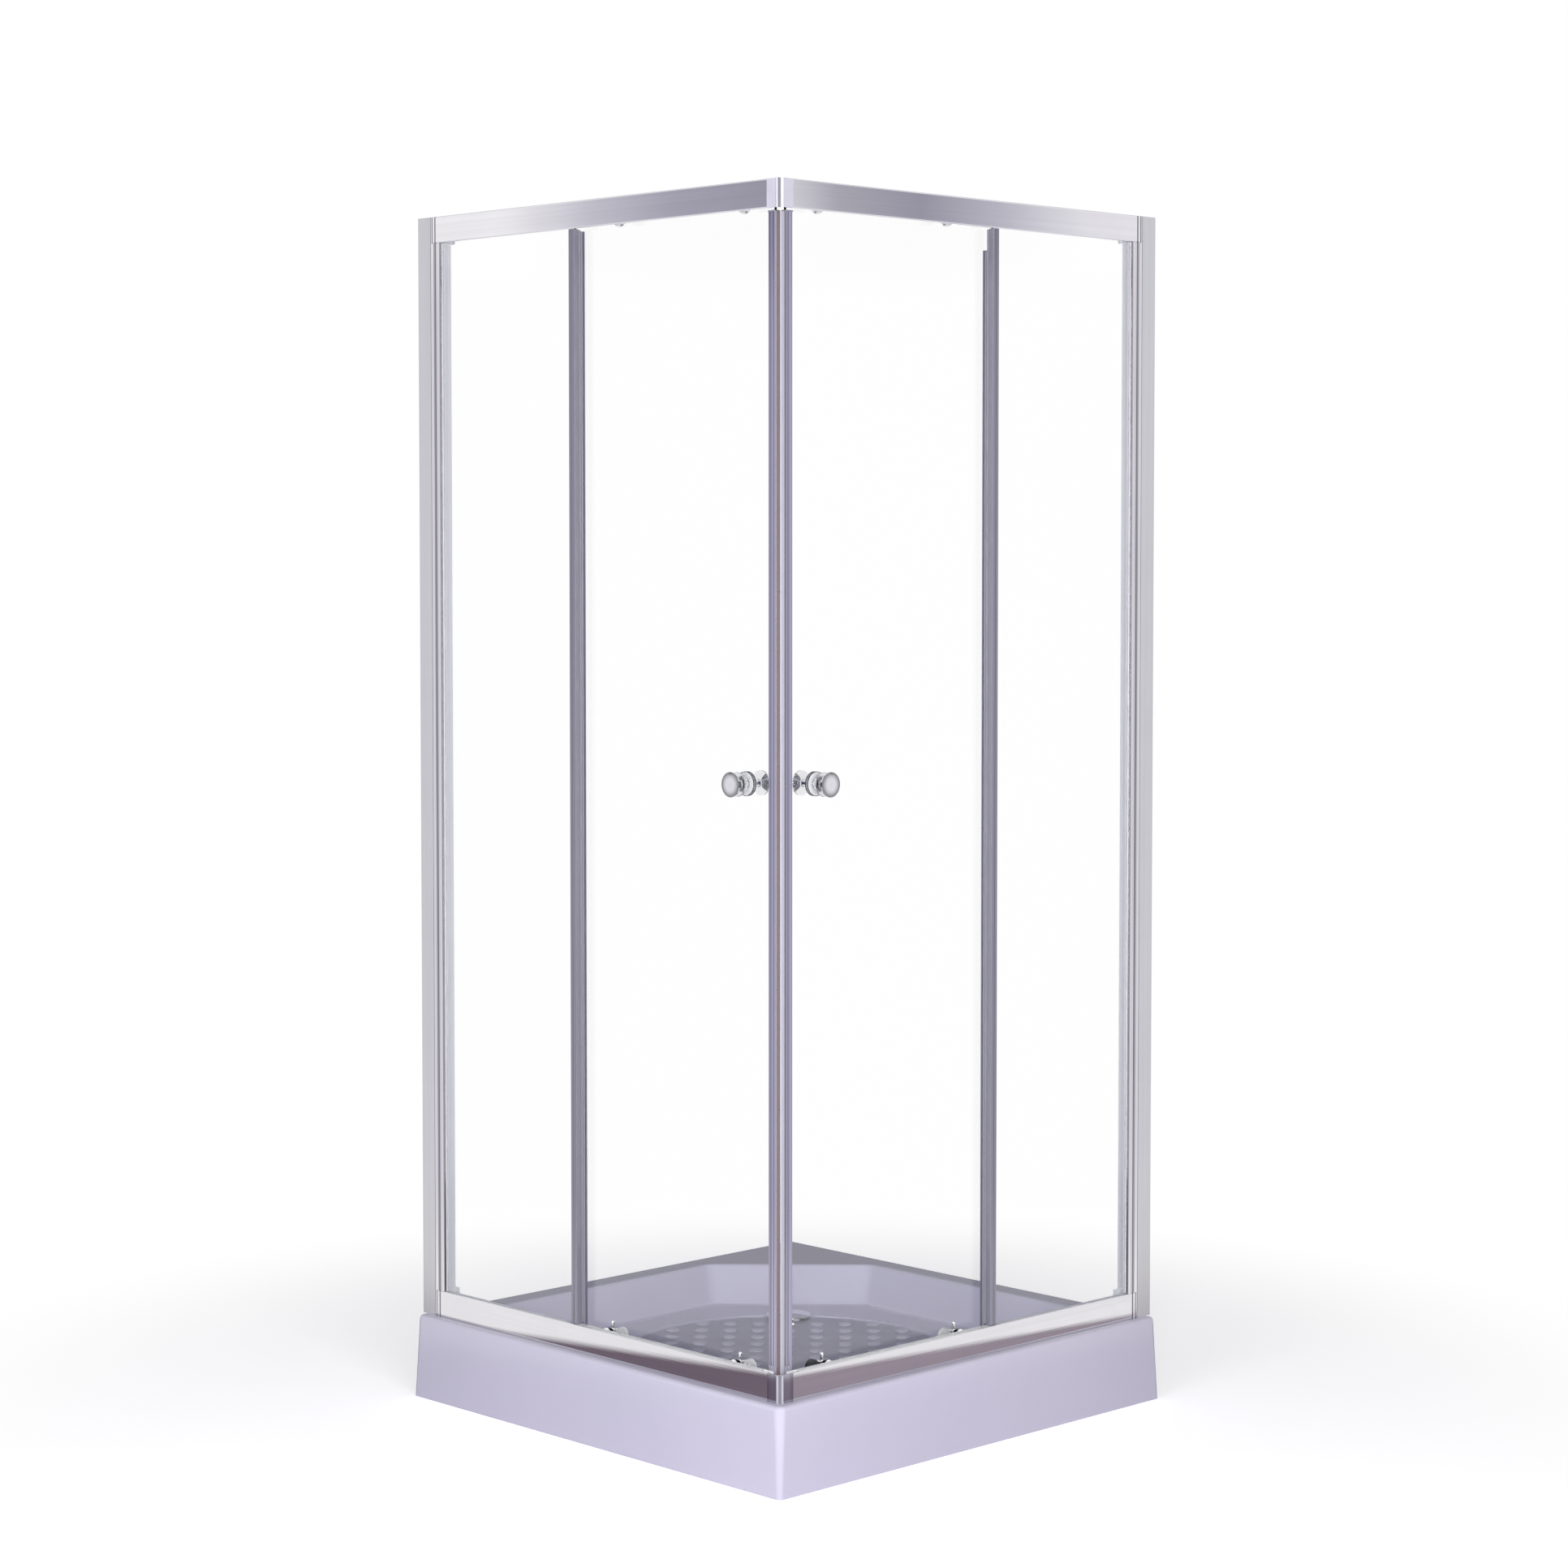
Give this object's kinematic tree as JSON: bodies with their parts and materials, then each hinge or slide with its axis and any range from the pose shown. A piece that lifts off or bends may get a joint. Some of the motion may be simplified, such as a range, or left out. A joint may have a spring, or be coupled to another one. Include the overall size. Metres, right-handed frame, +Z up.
{
  "type": "shower enclosure with sliding door",
  "caption": "Corner shower enclosure on a low square tray: glass doors on roller rails slide apart from the corner, with round knobs.",
  "frame": {"origin": "middle of the square footprint, on the floor", "axes": "+Z up; the glazed sides face -Y (left door) and +X (right door); the room walls stand at -X and +Y"},
  "size_m": [0.9, 0.9, 2],
  "materials": {
    "acrylic": "glossy moulded acrylic",
    "board": "raw chipboard bonded under the tray",
    "steel": "zinc plated",
    "rubber": "matt",
    "trap": "moulded polypropylene",
    "chrome": "polished",
    "bright": "bright polished, chrome effect",
    "satin": "satin",
    "glass": "clear tempered",
    "seal": "translucent soft PVC",
    "nylon": "moulded nylon"
  },
  "bodies": {
    "enclosure": {"tray": "acrylic", "tray_board": "board", "support_bars": "steel", "leg_screws": "steel", "foot_pads": "rubber", "waste_trap": "trap", "waste_gasket": "rubber", "waste_flange": "chrome", "left_wall_profile": "satin", "right_wall_profile": "satin", "left_side_post": "bright", "right_side_post": "bright", "left_top_rail": "bright", "right_top_rail": "bright", "left_sill_rail": "bright", "right_sill_rail": "bright", "top_corner": "chrome", "bottom_corner": "chrome", "rail_end_caps": "chrome", "frame_screws": "steel", "glazing_gaskets": "seal", "left_fixed_glass": "glass", "right_fixed_glass": "glass", "left_mid_post": "bright", "right_mid_post": "bright", "mid_seals": "seal", "door_stops": "rubber"},
    "waste_cover": {"waste_cover": "chrome"},
    "left_door": {"left_door_glass": "glass", "left_lead_profile": "bright", "left_magnet_seal": "seal", "left_trail_profile": "bright", "left_drip_seal": "seal", "left_knob_outer": "chrome", "left_knob_inner": "chrome", "left_knob_washers": "rubber", "left_top_hangers": "chrome", "left_bottom_brackets": "chrome"},
    "left_top_roller_front": {"left_top_roller_front": "nylon"},
    "left_release_front": {"left_release_front": "chrome"},
    "left_bottom_roller_front": {"left_bottom_roller_front": "nylon"},
    "left_top_roller_rear": {"left_top_roller_rear": "nylon"},
    "left_release_rear": {"left_release_rear": "chrome"},
    "left_bottom_roller_rear": {"left_bottom_roller_rear": "nylon"},
    "right_door": {"right_door_glass": "glass", "right_lead_profile": "bright", "right_magnet_seal": "seal", "right_trail_profile": "bright", "right_drip_seal": "seal", "right_knob_outer": "chrome", "right_knob_inner": "chrome", "right_knob_washers": "rubber", "right_top_hangers": "chrome", "right_bottom_brackets": "chrome"},
    "right_top_roller_front": {"right_top_roller_front": "nylon"},
    "right_release_front": {"right_release_front": "chrome"},
    "right_bottom_roller_front": {"right_bottom_roller_front": "nylon"},
    "right_top_roller_rear": {"right_top_roller_rear": "nylon"},
    "right_release_rear": {"right_release_rear": "chrome"},
    "right_bottom_roller_rear": {"right_bottom_roller_rear": "nylon"}
  },
  "joints": [
    {"name": "waste_cover_lift", "type": "slide", "parent": "enclosure", "child": "waste_cover", "axis": [0, 0, 1], "range_m": [0, 0.05]},
    {"name": "left_door_slide", "type": "slide", "parent": "enclosure", "child": "left_door", "axis": [-1, 0, 0], "range_m": [0, 0.3245]},
    {"name": "left_top_roller_front_spin", "type": "hinge", "parent": "left_door", "child": "left_top_roller_front", "pos_m": [0.328, -0.3935, 1.982], "axis": [0, -1, 0], "range_deg": [0, 2200]},
    {"name": "left_release_front_lift", "type": "slide", "parent": "left_door", "child": "left_release_front", "axis": [0, 0, 1], "range_m": [0, 0.005], "stiffness_N_per_m": 1500, "springref_m": -0.004},
    {"name": "left_bottom_roller_front_spin", "type": "hinge", "parent": "left_release_front", "child": "left_bottom_roller_front", "pos_m": [0.328, -0.3935, 0.176], "axis": [0, -1, 0], "range_deg": [0, 2200]},
    {"name": "left_top_roller_rear_spin", "type": "hinge", "parent": "left_door", "child": "left_top_roller_rear", "pos_m": [0.04, -0.3935, 1.982], "axis": [0, -1, 0], "range_deg": [0, 2200]},
    {"name": "left_release_rear_lift", "type": "slide", "parent": "left_door", "child": "left_release_rear", "axis": [0, 0, 1], "range_m": [0, 0.005], "stiffness_N_per_m": 1500, "springref_m": -0.004},
    {"name": "left_bottom_roller_rear_spin", "type": "hinge", "parent": "left_release_rear", "child": "left_bottom_roller_rear", "pos_m": [0.028, -0.3935, 0.176], "axis": [0, -1, 0], "range_deg": [0, 2200]},
    {"name": "right_door_slide", "type": "slide", "parent": "enclosure", "child": "right_door", "axis": [0, 1, 0], "range_m": [0, 0.3245]},
    {"name": "right_top_roller_front_spin", "type": "hinge", "parent": "right_door", "child": "right_top_roller_front", "pos_m": [0.3935, -0.328, 1.982], "axis": [-1, 0, 0], "range_deg": [0, 2200]},
    {"name": "right_release_front_lift", "type": "slide", "parent": "right_door", "child": "right_release_front", "axis": [0, 0, 1], "range_m": [0, 0.005], "stiffness_N_per_m": 1500, "springref_m": -0.004},
    {"name": "right_bottom_roller_front_spin", "type": "hinge", "parent": "right_release_front", "child": "right_bottom_roller_front", "pos_m": [0.3935, -0.328, 0.176], "axis": [-1, 0, 0], "range_deg": [0, 2200]},
    {"name": "right_top_roller_rear_spin", "type": "hinge", "parent": "right_door", "child": "right_top_roller_rear", "pos_m": [0.3935, -0.04, 1.982], "axis": [-1, 0, 0], "range_deg": [0, 2200]},
    {"name": "right_release_rear_lift", "type": "slide", "parent": "right_door", "child": "right_release_rear", "axis": [0, 0, 1], "range_m": [0, 0.005], "stiffness_N_per_m": 1500, "springref_m": -0.004},
    {"name": "right_bottom_roller_rear_spin", "type": "hinge", "parent": "right_release_rear", "child": "right_bottom_roller_rear", "pos_m": [0.3935, -0.028, 0.176], "axis": [-1, 0, 0], "range_deg": [0, 2200]}
  ],
  "couplings": [
    {"joint": "left_top_roller_front_spin", "follows": "left_door_slide", "rad_per_m": 111.11},
    {"joint": "left_bottom_roller_front_spin", "follows": "left_door_slide", "rad_per_m": 111.11},
    {"joint": "left_top_roller_rear_spin", "follows": "left_door_slide", "rad_per_m": 111.11},
    {"joint": "left_bottom_roller_rear_spin", "follows": "left_door_slide", "rad_per_m": 111.11},
    {"joint": "right_top_roller_front_spin", "follows": "right_door_slide", "rad_per_m": 111.11},
    {"joint": "right_bottom_roller_front_spin", "follows": "right_door_slide", "rad_per_m": 111.11},
    {"joint": "right_top_roller_rear_spin", "follows": "right_door_slide", "rad_per_m": 111.11},
    {"joint": "right_bottom_roller_rear_spin", "follows": "right_door_slide", "rad_per_m": 111.11}
  ]
}
